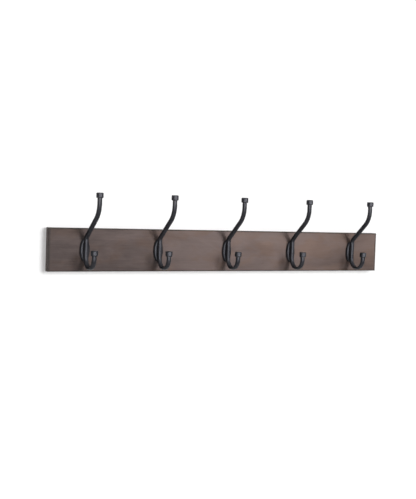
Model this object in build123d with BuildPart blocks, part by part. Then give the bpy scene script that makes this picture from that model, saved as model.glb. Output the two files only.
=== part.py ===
"""Wall hook rack: a stained wooden board that carries a row of double coat hooks.

Each hook is a bent round rod with a turned cap on both ends. The rod lies in a groove of an
oval base plate, and two screws from behind clamp the board, the plate and the rod together.
Two keyhole hangers, let into the back of the board, hang the rack on two wall screws.

Millimetres, +Z up, +X to the right along the board, +Y into the wall. The origin is the centre
of the board's back face, so the wall is the plane y = 0 and the hooks reach out along -Y.
"""

import os
from math import atan2, cos, degrees, pi, radians, sin, sqrt, tan

from build123d import *

# Board
board_length = 685.8
board_height = 74.0
board_thickness = 12.0
board_edge_radius = 1.2

# Row of hooks
hook_count = 5
hook_end_margin = 64.5

# Oval base plate of a hook
plate_width = 17.4
plate_height = 40.0
plate_thickness = 5.2
plate_edge_radius = 3.2
plate_rim_margin = 0.2

# Bent rod of a hook
rod_diameter = 8.0
rod_seat_depth = 1.3
rod_seat_clearance = 0.05
upper_reach = 52.2
upper_straight = 13.3
upper_bend_radius = 35.0
seat_bend_radius = 9.0
seat_bend_height = 17.6
upper_tip_height = 97.8
cradle_radius = 17.9
cradle_height = -12.4
cradle_rod_width = 9.0
cradle_rod_thickness = 5.0
cradle_sections = 5
lower_tip_height = 0.8

# Turned cap on each end of the rod
cap_diameter = 12.2
cap_height = 8.9
cap_foot_inset = 0.8
cap_taper_height = 1.1
cap_top_radius = 1.4
cap_shoulder_radius = 0.9
cap_socket_depth = 5.6
cap_socket_clearance = 0.05
cap_end_gap = 0.2

# Screws that clamp a hook to the board
screw_diameter = 4.0
screw_spacing = 16.0
screw_middle_height = 1.2
screw_bite = 5.2
screw_tip_gap = 0.4
screw_thread_clearance = 0.05
screw_hole_clearance = 0.25
screw_head_diameter = 9.0
screw_head_height = 2.4
screw_head_round = 1.5
screw_head_clearance = 0.5
screw_head_sink = 0.6
screw_drive_length = 4.4
screw_drive_width = 1.0
screw_drive_depth = 1.3

# Keyhole hangers on the back of the board
hanger_spacing = 406.4
hanger_width = 16.0
hanger_height = 46.0
hanger_thickness = 1.5
hanger_corner_radius = 4.0
hanger_clearance = 0.15
keyhole_entry_diameter = 9.0
keyhole_slot_width = 4.6
keyhole_slot_rise = 10.0
keyhole_entry_height = -5.0
pocket_depth = 6.0
pocket_margin = 1.0

# Small countersunk wood screws that hold the hangers
tack_diameter = 2.8
tack_head_diameter = 5.4
tack_head_angle = 90.0
tack_length = 8.0
tack_point_length = 2.5
tack_point_diameter = 0.8
tack_spacing = 35.0
tack_clearance = 0.05
tack_drive_length = 2.8
tack_drive_width = 0.7
tack_drive_depth = 0.7

# Distances out of the wall, measured towards -Y
plate_back = board_thickness
plate_front = plate_back + plate_thickness
rod_back = plate_front - rod_seat_depth
rod_seat_axis = rod_back + rod_diameter / 2
upper_axis = rod_seat_axis + upper_reach
lower_axis = rod_seat_axis + 2 * cradle_radius
screw_seat = screw_head_sink + screw_head_height
screw_tip = rod_back + screw_bite

# The plate's rim is no rounder than the tight ends of the oval and its thickness allow
plate_end_radius = plate_width**2 / (2 * plate_height)
plate_rim_limit = min(plate_end_radius, plate_thickness) - plate_rim_margin
plate_rim_radius = min(plate_edge_radius, plate_rim_limit)

hook_pitch = (board_length - 2 * hook_end_margin) / (hook_count - 1)
hook_places = [(index - (hook_count - 1) / 2) * hook_pitch for index in range(hook_count)]
hanger_places = {"left": -hanger_spacing / 2, "right": hanger_spacing / 2}


def out_of_wall(distance, x=0.0, z=0.0):
    """Plane parallel to the wall, facing the room, with local x along +X and local y up."""
    return Plane(origin=(x, -distance, z), x_dir=(1, 0, 0), z_dir=(0, -1, 0))


def into_wall(distance, x=0.0, z=0.0):
    """Plane parallel to the wall, facing it, with local x along -X and local y up."""
    return Plane(origin=(x, -distance, z), x_dir=(-1, 0, 0), z_dir=(0, 1, 0))


def save(part, name):
    """Labels a finished piece and writes it as its own STEP file."""
    part.label = name
    export_step(part, f"parts/{name}.step")


def rod_path(x):
    """Centre line of a hook's rod: lower prong, cradle, seat on the plate, upper prong."""
    lower_end = lower_tip_height - cap_height + cap_socket_depth - cap_end_gap
    upper_end = upper_tip_height - cap_height + cap_socket_depth - cap_end_gap

    # The slope of the upper prong is the common tangent of the bends below and above it
    bends = seat_bend_radius + upper_bend_radius
    run = upper_reach - bends
    rise = upper_end - upper_straight - seat_bend_height
    slope_length = sqrt(run**2 + rise**2 - bends**2)
    lean = atan2(bends, slope_length) + atan2(run, rise)
    turn = degrees(lean)
    with BuildLine(Plane.YZ.offset(x)) as path:
        lower_prong = Line((-lower_axis, lower_end), (-lower_axis, cradle_height))
        cradle = JernArc(lower_prong @ 1, (0, -1), cradle_radius, 180)
        seat = Line(cradle @ 1, (-rod_seat_axis, seat_bend_height))
        seat_bend = JernArc(seat @ 1, (0, 1), seat_bend_radius, turn)
        slope = PolarLine(seat_bend @ 1, slope_length, 90 + turn)
        upper_bend = JernArc(slope @ 1, (-sin(lean), cos(lean)), upper_bend_radius, -turn)
        Line(upper_bend @ 1, (-upper_axis, upper_end))
    return path.line


def make_board():
    """Board with eased front edges, drilled and let in from behind."""
    with BuildPart() as board:
        with BuildSketch(Plane.XZ):
            Rectangle(board_length, board_height)
        extrude(amount=board_thickness)
        front = board.faces().sort_by(Axis.Y)[0]
        fillet(front.edges(), radius=board_edge_radius)

        # Counterbored screw holes, two behind each hook
        with Locations(into_wall(0, z=screw_middle_height)):
            with GridLocations(hook_pitch, screw_spacing, hook_count, 2):
                CounterBoreHole(
                    radius=screw_diameter / 2 + screw_hole_clearance,
                    counter_bore_radius=screw_head_diameter / 2 + screw_head_clearance,
                    counter_bore_depth=screw_seat,
                    depth=board_thickness,
                )

        # Shallow rebate for each hanger, with a pocket that clears the wall screw's head
        pocket_width = keyhole_entry_diameter + 2 * pocket_margin
        pocket_height = keyhole_slot_rise + pocket_width
        for x in hanger_places.values():
            with BuildSketch(out_of_wall(0, x)):
                RectangleRounded(
                    hanger_width + 2 * hanger_clearance,
                    hanger_height + 2 * hanger_clearance,
                    hanger_corner_radius + hanger_clearance,
                )
            extrude(amount=hanger_thickness, mode=Mode.SUBTRACT)
            with BuildSketch(out_of_wall(hanger_thickness, x, keyhole_entry_height + keyhole_slot_rise / 2)):
                SlotOverall(pocket_height, pocket_width, rotation=90)
            extrude(amount=pocket_depth, mode=Mode.SUBTRACT)
            with Locations(into_wall(hanger_thickness, x)):
                with GridLocations(0, tack_spacing, 1, 2):
                    Hole(
                        radius=tack_diameter / 2 + tack_clearance,
                        depth=tack_length - hanger_thickness + tack_clearance,
                    )
    return board.part


def make_base_plate(x):
    """Oval plate with a rounded rim, a groove for the rod and two clearance holes."""
    with BuildPart() as plate:
        with BuildSketch(out_of_wall(plate_back, x)):
            Ellipse(plate_width / 2, plate_height / 2)
        extrude(amount=plate_thickness)
        front = plate.faces().sort_by(Axis.Y)[0]
        fillet(front.edges(), radius=plate_rim_radius)
        path = rod_path(x)
        with BuildSketch(Plane(path ^ 0)):
            Circle(rod_diameter / 2 + rod_seat_clearance)
        sweep(path=path, mode=Mode.SUBTRACT)
        with Locations(into_wall(plate_back, x, screw_middle_height)):
            with GridLocations(0, screw_spacing, 1, 2):
                Hole(radius=screw_diameter / 2 + screw_hole_clearance, depth=plate_thickness)
    return plate.part


def make_hook_rod(x):
    """Round rod bent into the upper prong and the lower cradle, tapped from behind."""
    lower_prong, cradle, *upper_run = rod_path(x).edges()
    with BuildPart() as rod:
        for run in (lower_prong, Wire(upper_run)):
            with BuildSketch(Plane(run ^ 0)):
                Circle(rod_diameter / 2)
            sweep(path=run)

        # The cradle flattens evenly towards its lowest point, halfway along
        for index in range(cradle_sections):
            share = index / (cradle_sections - 1)
            flatness = sin(pi * share) ** 2
            width = rod_diameter + (cradle_rod_width - rod_diameter) * flatness
            thickness = rod_diameter + (cradle_rod_thickness - rod_diameter) * flatness
            with BuildSketch(Plane(origin=cradle @ share, x_dir=(1, 0, 0), z_dir=cradle % share)):
                Ellipse(width / 2, thickness / 2)
        sweep(path=cradle, multisection=True)
        with Locations(into_wall(rod_back, x, screw_middle_height)):
            with GridLocations(0, screw_spacing, 1, 2):
                Hole(radius=screw_diameter / 2 + screw_thread_clearance, depth=screw_bite + screw_tip_gap)
    return rod.part


def make_cap(x, reach, tip_height):
    """Turned cap with a tapered foot and a blind socket that takes the end of the rod."""
    foot_height = tip_height - cap_height
    with BuildPart() as cap:
        with BuildSketch(out_of_wall(reach, x, foot_height)):
            with BuildLine():
                Polyline(
                    (0, 0),
                    (cap_diameter / 2 - cap_foot_inset, 0),
                    (cap_diameter / 2, cap_taper_height),
                    (cap_diameter / 2, cap_height),
                    (0, cap_height),
                    close=True,
                )
            make_face()
        revolve(axis=Axis((x, -reach, foot_height), (0, 0, 1)))
        rims = cap.edges().filter_by(GeomType.CIRCLE).sort_by(Axis.Z)
        fillet(rims[-1], radius=cap_top_radius)
        fillet(rims[-2], radius=cap_shoulder_radius)
        with Locations(Plane(origin=(x, -reach, foot_height), z_dir=(0, 0, -1))):
            Hole(radius=rod_diameter / 2 + cap_socket_clearance, depth=cap_socket_depth)
    return cap.part


def cross_drives(grid, plane, length, width):
    """Sketch of a cross recess on the head of every screw of a grid."""
    with BuildSketch(plane) as crosses:
        with grid:
            Rectangle(length, width)
            Rectangle(width, length)
    return crosses.sketch


def make_hook_screws():
    """Round-headed machine screws from behind the board, two for each hook."""
    grid = GridLocations(hook_pitch, screw_spacing, hook_count, 2)
    with BuildPart() as screws:
        with BuildSketch(into_wall(screw_seat, z=screw_middle_height)):
            with grid:
                Circle(screw_head_diameter / 2)
        extrude(amount=screw_head_height)
        rims = screws.faces().filter_by(Axis.Y).group_by(Axis.Y)[-1].edges()
        fillet(rims, radius=screw_head_round)
        with BuildSketch(out_of_wall(screw_seat, z=screw_middle_height)):
            with grid:
                Circle(screw_diameter / 2)
        extrude(amount=screw_tip - screw_seat)
        head_top = into_wall(screw_head_sink, z=screw_middle_height)
        crosses = cross_drives(grid, head_top, screw_drive_length, screw_drive_width)
        extrude(crosses, amount=-screw_drive_depth, mode=Mode.SUBTRACT)
    return screws.part


def make_hanger_plate(x):
    """Steel plate with a keyhole: the wall screw's head enters below and slides up the slot."""
    with BuildPart() as hanger:
        with BuildSketch(out_of_wall(0, x)):
            RectangleRounded(hanger_width, hanger_height, hanger_corner_radius)
            with Locations((0, keyhole_entry_height)):
                Circle(keyhole_entry_diameter / 2, mode=Mode.SUBTRACT)
            with Locations((0, keyhole_entry_height + keyhole_slot_rise / 2)):
                SlotCenterToCenter(keyhole_slot_rise, keyhole_slot_width, rotation=90, mode=Mode.SUBTRACT)
        extrude(amount=hanger_thickness)
        with Locations(into_wall(0, x)):
            with GridLocations(0, tack_spacing, 1, 2):
                CounterSinkHole(
                    radius=tack_diameter / 2 + tack_clearance,
                    counter_sink_radius=tack_head_diameter / 2 + tack_clearance,
                    depth=hanger_thickness,
                    counter_sink_angle=tack_head_angle,
                )
    return hanger.part


def make_hanger_screws():
    """Countersunk wood screws, two for each hanger, flush with the back of the board."""
    grid = GridLocations(hanger_spacing, tack_spacing, 2, 2)
    head_height = (tack_head_diameter - tack_diameter) / 2 / tan(radians(tack_head_angle / 2))
    with BuildPart() as tacks:
        for location in grid.locations:
            x, z = location.position.X, location.position.Y
            with BuildSketch(Plane(origin=(x, 0, z), x_dir=(1, 0, 0), z_dir=(0, 0, 1))):
                with BuildLine():
                    Polyline(
                        (0, 0),
                        (tack_head_diameter / 2, 0),
                        (tack_diameter / 2, -head_height),
                        (tack_diameter / 2, tack_point_length - tack_length),
                        (tack_point_diameter / 2, -tack_length),
                        (0, -tack_length),
                        close=True,
                    )
                make_face()
            revolve(axis=Axis((x, 0, z), (0, 1, 0)))
        crosses = cross_drives(grid, into_wall(0), tack_drive_length, tack_drive_width)
        extrude(crosses, amount=-tack_drive_depth, mode=Mode.SUBTRACT)
    return tacks.part


os.makedirs("parts", exist_ok=True)
save(make_board(), "board")
for number, place in enumerate(hook_places, start=1):
    save(make_base_plate(place), f"base_plate_{number}")
    save(make_hook_rod(place), f"hook_rod_{number}")
    save(make_cap(place, upper_axis, upper_tip_height), f"upper_cap_{number}")
    save(make_cap(place, lower_axis, lower_tip_height), f"lower_cap_{number}")
save(make_hook_screws(), "hook_screws")
for side, place in hanger_places.items():
    save(make_hanger_plate(place), f"hanger_plate_{side}")
save(make_hanger_screws(), "hanger_screws")
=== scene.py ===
"""Looks of the wall hook rack: finishes for its pieces, a white wall, soft light and the camera.

Metres, in the frame of the solids: +X to the right along the board, +Y into the wall, +Z up.
"""

from math import cos, radians, sin

import bpy
from mathutils import Matrix, Vector


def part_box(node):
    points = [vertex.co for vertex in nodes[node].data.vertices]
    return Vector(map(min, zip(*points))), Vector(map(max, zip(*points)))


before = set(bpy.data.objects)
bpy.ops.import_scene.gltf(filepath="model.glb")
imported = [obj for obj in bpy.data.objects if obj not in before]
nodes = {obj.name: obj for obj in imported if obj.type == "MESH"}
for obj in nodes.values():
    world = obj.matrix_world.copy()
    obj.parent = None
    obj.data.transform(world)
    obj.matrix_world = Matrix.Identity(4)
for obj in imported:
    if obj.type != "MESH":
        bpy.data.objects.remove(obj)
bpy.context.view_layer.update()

white = (1, 1, 1, 1)


# Node graphs
class Graph:
    """Node tree of a new material or world, with short calls that add a node and give back an output."""

    def __init__(self, owner, output="OutputMaterial"):
        owner.use_nodes = True
        self.owner = owner
        self.tree = owner.node_tree
        self.tree.nodes.clear()
        self.output = self.tree.nodes.new("ShaderNode" + output)

    def add(self, kind, inputs=(), out=0, **settings):
        """Adds a node, sets or links its inputs and gives back one of its outputs."""
        node = self.tree.nodes.new("ShaderNode" + kind)
        for key, value in settings.items():
            setattr(node, key, value)
        for key, value in dict(inputs).items():
            self.plug(node.inputs[key], value)
        return node.outputs[out]

    def plug(self, socket, value):
        """Links an output to a socket, or sets the socket to a constant."""
        if isinstance(value, bpy.types.NodeSocket):
            self.tree.links.new(value, socket)
        else:
            socket.default_value = value

    def math(self, operation, a, b=0.0, clamp=False):
        return self.add("Math", {0: a, 1: b}, operation=operation, use_clamp=clamp)

    def ramp(self, value, low, high, to_low=0.0, to_high=1.0):
        """Maps value from low..high to to_low..to_high, smoothly and clamped."""
        spread = {"Value": value, "From Min": low, "From Max": high, "To Min": to_low, "To Max": to_high}
        return self.add("MapRange", spread, interpolation_type="SMOOTHSTEP")

    def noise(self, scale, detail, roughness=0.55, distortion=0.0):
        """Noise in the object's own coordinates, with a number of cells per metre for each axis."""
        own = self.add("TexCoord", out="Object")
        spread = {
            "Vector": self.add("Mapping", {"Vector": own, "Scale": scale}),
            "Scale": 1.0,
            "Detail": detail,
            "Roughness": roughness,
            "Distortion": distortion,
        }
        return self.add("TexNoise", spread, out="Fac")

    def mix(self, factor, a, b, blend="MIX"):
        """Mixes two colours."""
        node = self.tree.nodes.new("ShaderNodeMix")
        node.data_type = "RGBA"
        node.blend_type = blend
        self.plug(node.inputs["Factor"], factor)
        self.plug(node.inputs["A"], a)
        self.plug(node.inputs["B"], b)
        return node.outputs["Result"]

    def bump(self, height, distance, strength):
        return self.add("Bump", {"Height": height, "Distance": distance, "Strength": strength})

    def light_path(self):
        """Outputs of a light path node."""
        return self.tree.nodes.new("ShaderNodeLightPath").outputs

    def seen(self):
        """1 for what the lens sees, also in gloss and through glass, and 0 for light cast on things."""
        path = self.light_path()
        direct = self.math("MAXIMUM", path["Is Camera Ray"], path["Is Glossy Ray"])
        return self.math("MAXIMUM", direct, path["Is Transmission Ray"])

    def show(self, shader):
        """Ends the graph with a shader and gives back the material or world."""
        self.tree.links.new(shader, self.output.inputs["Surface"])
        return self.owner


def dress(material, *names):
    """Gives CAD nodes a material in place of the plain one they came with."""
    for name in names:
        nodes[name].data.materials.clear()
        nodes[name].data.materials.append(material)


# Finishes
def stained_wood():
    """Cocoa-grey stain on a straight-grained board: soft mottling, faint streaks, painted light and shade
    along it, and dark arrises that are partly painted shade.
    """
    deep_stain_shaded = (0.061, 0.042, 0.039, 1)
    thin_stain_lit = (0.192, 0.142, 0.131, 1)
    warm_tint = (1.0, 0.90, 0.80, 1)
    streak_stain = (0.060, 0.046, 0.042, 1)
    pale_fibre = (0.235, 0.180, 0.160, 1)
    pore_stain = (0.040, 0.030, 0.027, 1)
    edge_stain_and_shade = (0.032, 0.025, 0.022, 1)

    # Places along the board, widths of the dark bands at its edges and ends, and depths behind its face
    brightest_from = 0.03
    brightest_to = 0.10
    edge_band = 0.0028
    edge_full = 0.0010
    end_band = 0.0042
    end_full = 0.0018
    arris_depth = 0.0012
    side_depth = 0.0032
    grain_depth = 0.0002

    g = Graph(bpy.data.materials.new("stained_wood"))
    low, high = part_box("board")
    own = g.add("TexCoord", out="Object")
    x, y, z = (g.add("SeparateXYZ", {0: own}, out=axis) for axis in "XYZ")
    mottle = g.noise((9.0, 9.0, 22.0), detail=4.0, distortion=0.6)
    blotch = g.noise((17.0, 17.0, 38.0), detail=3.0, roughness=0.6, distortion=0.4)
    streak = g.noise((6.0, 170.0, 210.0), detail=5.0, roughness=0.62, distortion=0.25)
    fibre = g.noise((24.0, 700.0, 900.0), detail=3.0, roughness=0.6)
    pore = g.ramp(g.noise((45.0, 900.0, 1300.0), detail=2.0), 0.66, 0.74)

    # Painted light and shade: darker towards the left end and the bottom and lightest just right of the
    # middle, as light falls on the board; the mottle added on top is the stain's own
    shade_and_mottle = g.math("MULTIPLY", g.ramp(x, low.x, brightest_from), g.ramp(x, brightest_to, high.x, 1.0, 0.70))
    shade_and_mottle = g.math("MULTIPLY", shade_and_mottle, g.ramp(z, low.z, high.z, 0.54, 1.0))
    shade_and_mottle = g.math("ADD", shade_and_mottle, g.ramp(mottle, 0.25, 0.75, -0.24, 0.24), clamp=True)
    colour = g.mix(shade_and_mottle, deep_stain_shaded, thin_stain_lit)

    # It is warmer in blotches and towards the right end, with streaks, fibres and pores along the grain
    warm = g.math("ADD", g.ramp(blotch, 0.42, 0.68), g.ramp(x, 0.0, high.x, 0.0, 0.55), clamp=True)
    colour = g.mix(warm, colour, warm_tint, "MULTIPLY")
    colour = g.mix(g.ramp(streak, 0.40, 0.72, 0.0, 0.08), colour, streak_stain)
    colour = g.mix(g.ramp(fibre, 0.35, 0.75, 0.0, 0.10), colour, pale_fibre)
    colour = g.mix(g.math("MULTIPLY", pore, 0.35), colour, pore_stain)

    # Dark bands along the top and bottom edges and the ends, strongest on the eased arrises in front:
    # partly stain gathered there, partly painted shade
    edge_z = g.ramp(g.math("ABSOLUTE", z), high.z - edge_band, high.z - edge_full)
    edge_x = g.ramp(g.math("ABSOLUTE", x), high.x - end_band, high.x - end_full)
    depth = g.ramp(y, low.y + arris_depth, low.y + side_depth, 0.92, 0.34)
    rubbed = g.ramp(g.noise((30.0, 30.0, 30.0), detail=3.0), 0.35, 0.7, 1.0, 0.65)
    edge_stain_and_shade_mask = g.math("MULTIPLY", g.math("MAXIMUM", edge_z, edge_x), depth)
    colour = g.mix(g.math("MULTIPLY", edge_stain_and_shade_mask, rubbed), colour, edge_stain_and_shade)

    height = g.math("SUBTRACT", g.math("ADD", streak, g.math("MULTIPLY", fibre, 0.4)), pore)
    rough = g.math("ADD", g.ramp(streak, 0.3, 0.7, 0.46, 0.60), g.math("MULTIPLY", pore, 0.15))
    surface = {
        "Base Color": colour,
        "Roughness": rough,
        "Specular IOR Level": 0.16,
        "Normal": g.bump(height, grain_depth, strength=0.4),
    }
    return g.show(g.add("BsdfPrincipled", surface))


def hook_metal():
    """Satin black-bronze coating on cast and bent metal, a little rubbed where the form turns sharply."""
    dark_coat = (0.0253, 0.0255, 0.0292, 1)
    pale_coat = (0.0352, 0.0352, 0.0402, 1)
    rubbed_coat = (0.085, 0.082, 0.080, 1)
    gloss_tint = (0.25, 0.25, 0.27, 1)
    grit_depth = 0.00008

    g = Graph(bpy.data.materials.new("hook_metal"))
    cloud = g.noise((60.0, 60.0, 60.0), detail=3.0)
    grit = g.noise((900.0, 900.0, 900.0), detail=2.0)
    colour = g.mix(g.ramp(cloud, 0.35, 0.65), dark_coat, pale_coat)
    sharp = g.ramp(g.add("NewGeometry", out="Pointiness"), 0.53, 0.60, 0.0, 0.5)
    colour = g.mix(g.math("MULTIPLY", sharp, g.ramp(cloud, 0.4, 0.6)), colour, rubbed_coat)
    surface = {
        "Base Color": colour,
        "Metallic": 0.45,
        "Specular Tint": gloss_tint,
        "Roughness": g.math("ADD", g.ramp(cloud, 0.3, 0.7, 0.32, 0.42), g.math("MULTIPLY", grit, 0.06)),
        "Specular IOR Level": 0.28,
        "Normal": g.bump(grit, grit_depth, strength=0.5),
    }
    return g.show(g.add("BsdfPrincipled", surface))


def zinc_steel():
    """Bright zinc plating with a faint brushed streak and a cloudy passivated tint."""
    cool_zinc = (0.40, 0.41, 0.43, 1)
    warm_zinc = (0.54, 0.53, 0.49, 1)
    brush_depth = 0.00003

    g = Graph(bpy.data.materials.new("zinc_steel"))
    cloud = g.noise((120.0, 120.0, 120.0), detail=3.0)
    brush = g.noise((1500.0, 900.0, 60.0), detail=3.0)
    surface = {
        "Base Color": g.mix(g.ramp(cloud, 0.3, 0.7), cool_zinc, warm_zinc),
        "Metallic": 1.0,
        "Roughness": g.math("ADD", g.ramp(cloud, 0.3, 0.7, 0.30, 0.42), g.math("MULTIPLY", brush, 0.08)),
        "Normal": g.bump(brush, brush_depth, strength=0.5),
    }
    return g.show(g.add("BsdfPrincipled", surface))


hook_pieces = ("base_plate", "hook_rod", "upper_cap", "lower_cap")
hook_nodes = [name for name in nodes if name.rsplit("_", 1)[0] in hook_pieces]
dress(stained_wood(), "board")
dress(hook_metal(), *hook_nodes)
dress(zinc_steel(), "hook_screws", "hanger_plate_left", "hanger_plate_right", "hanger_screws")


# White wall that runs down into a pale floor in one sweep
def backdrop_material():
    """White to the lens and in reflections where no shadow falls, and open from behind."""
    paint = (0.70, 0.70, 0.70, 1)
    wall_glow = 0.28
    floor_glow = 0.56
    open_distance = 0.012

    g = Graph(bpy.data.materials.new("backdrop"))
    upward = g.add("SeparateXYZ", {0: g.add("NewGeometry", out="Normal")}, out="Z")
    level = g.ramp(upward, 0.0, 1.0, wall_glow, floor_glow)
    glow = g.add("Emission", {"Color": white, "Strength": g.math("MULTIPLY", g.seen(), level)})
    lit = g.add("AddShader", {0: g.add("BsdfDiffuse", {"Color": paint}), 1: glow})

    # Light that starts close to the wall passes through it, so the back of the board isn't left black
    path = g.light_path()
    near = g.math("LESS_THAN", path["Ray Length"], open_distance)
    close = g.math("MULTIPLY", near, g.math("SUBTRACT", 1.0, path["Is Camera Ray"]))
    clear = g.math("MAXIMUM", g.add("NewGeometry", out="Backfacing"), close)
    return g.show(g.add("MixShader", {0: clear, 1: lit, 2: g.add("BsdfTransparent", {"Color": white})}))


def make_backdrop():
    """Upright wall just behind the board, a round cove and a level floor, as one strip."""
    half_width = 3.0
    wall_gap = 0.0025
    wall_top = 2.2
    floor = -1.0
    floor_reach = 3.5
    cove_radius = 0.35
    cove_steps = 24

    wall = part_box("board")[1].y + wall_gap
    strip = [(wall, wall_top), (wall, floor + cove_radius)]
    for step in range(1, cove_steps + 1):
        turn = radians(90 * step / cove_steps)
        strip.append((wall - cove_radius * (1 - cos(turn)), floor + cove_radius * (1 - sin(turn))))
    strip.append((wall - cove_radius - floor_reach, floor))
    points = [(side * half_width, y, z) for y, z in strip for side in (-1, 1)]
    faces = [(2 * i, 2 * i + 1, 2 * i + 3, 2 * i + 2) for i in range(len(strip) - 1)]
    mesh = bpy.data.meshes.new("backdrop")
    mesh.from_pydata(points, [], faces)
    mesh.polygons.foreach_set("use_smooth", [True] * len(faces))
    if mesh.polygons[0].normal.y > 0:
        mesh.flip_normals()
    mesh.materials.append(backdrop_material())
    thing = bpy.data.objects.new("backdrop", mesh)
    bpy.context.scene.collection.objects.link(thing)
    return thing


# Light: a soft key from the front right and above, a sheen from the camera's side, a glint from the right
# for the caps alone, a light through the wall for the back of the board, and a pale surround.
# The backdrop has a key of its own, in which only the board stands, so that the wall above stays white.
def light_group(name, things, state="INCLUDE"):
    """Group that limits a lamp to some things, or to all but those."""
    group = bpy.data.collections.new(name)
    for thing in things:
        group.objects.link(thing)
    for entry in group.collection_objects:
        entry.light_linking.link_state = state
    return group


def sun_lamp(name, towards, breadth, strength, receivers):
    """Adds a far lamp that shines one way on a group of things; its breadth is in degrees."""
    data = bpy.data.lights.new(name, "SUN")
    data.angle = radians(breadth)
    data.energy = strength
    lamp = bpy.data.objects.new(name, data)
    lamp.rotation_euler = Vector(towards).to_track_quat("-Z", "Y").to_euler()
    lamp.light_linking.receiver_collection = receivers
    bpy.context.scene.collection.objects.link(lamp)
    return lamp


def make_lamps(backdrop):
    """Adds the lamps; the sheen and the glint show in gloss only, and the rear light never does."""
    rack_only = light_group("rack_only", [backdrop], "EXCLUDE")
    backdrop_only = light_group("backdrop_only", [backdrop])
    board_only = light_group("board_only", [nodes["board"]])
    caps_only = light_group("caps_only", [nodes[name] for name in hook_nodes if "_cap_" in name])
    sun_lamp("key", towards=(-0.33, 1.0, -0.26), breadth=22.0, strength=2.30, receivers=rack_only)
    sheen = sun_lamp("sheen", towards=(0.45, 1.0, -0.02), breadth=36.0, strength=4.2, receivers=rack_only)
    sheen.visible_diffuse = False
    glint = sun_lamp("glint", towards=(-0.45, 1.0, -0.03), breadth=24.0, strength=2.3, receivers=caps_only)
    glint.visible_diffuse = False
    backdrop_key = sun_lamp(
        "backdrop_key", towards=(-0.55, 1.0, -0.25), breadth=34.0, strength=2.95, receivers=backdrop_only
    )
    backdrop_key.light_linking.blocker_collection = board_only
    rear = sun_lamp("rear", towards=(-0.15, -1.0, 0.0), breadth=40.0, strength=1.6, receivers=rack_only)
    rear.light_linking.blocker_collection = rack_only
    rear.visible_glossy = False


def make_world():
    """Surround that is white where it is seen and dimmer where it lights things."""
    ambient = 0.28
    g = Graph(bpy.data.worlds.new("surround"), "OutputWorld")
    level = g.ramp(g.seen(), 0.0, 1.0, ambient, 1.0)
    bpy.context.scene.world = g.show(g.add("Background", {"Color": white, "Strength": level}))


def make_camera():
    """Camera from the left of the rack and a little above it, with its focal length in pixels."""
    yaw = radians(29.211)
    pitch = radians(2.607)
    roll = radians(1.909)
    aside = 0.02724
    above = -0.00099
    away = 1.94981
    focal_length = 1061.9
    picture_height = 499
    sensor_width = 36.0

    right = Vector((cos(yaw), -sin(yaw), 0))
    ahead = Vector((sin(yaw) * cos(pitch), cos(yaw) * cos(pitch), -sin(pitch)))
    up = right.cross(ahead)
    place = -(aside * right + above * up + away * ahead)
    across = right * cos(roll) + up * sin(roll)
    over = up * cos(roll) - right * sin(roll)
    data = bpy.data.cameras.new("camera")
    data.sensor_width = sensor_width
    data.lens = sensor_width * focal_length / picture_height
    data.clip_start = 0.05
    data.clip_end = 50.0
    camera = bpy.data.objects.new("camera", data)
    turn = Matrix((across, over, -ahead)).transposed().to_4x4()
    camera.matrix_world = Matrix.Translation(place) @ turn
    bpy.context.scene.collection.objects.link(camera)
    bpy.context.scene.camera = camera


make_lamps(make_backdrop())
make_world()
make_camera()
bpy.context.scene.view_settings.view_transform = "Standard"
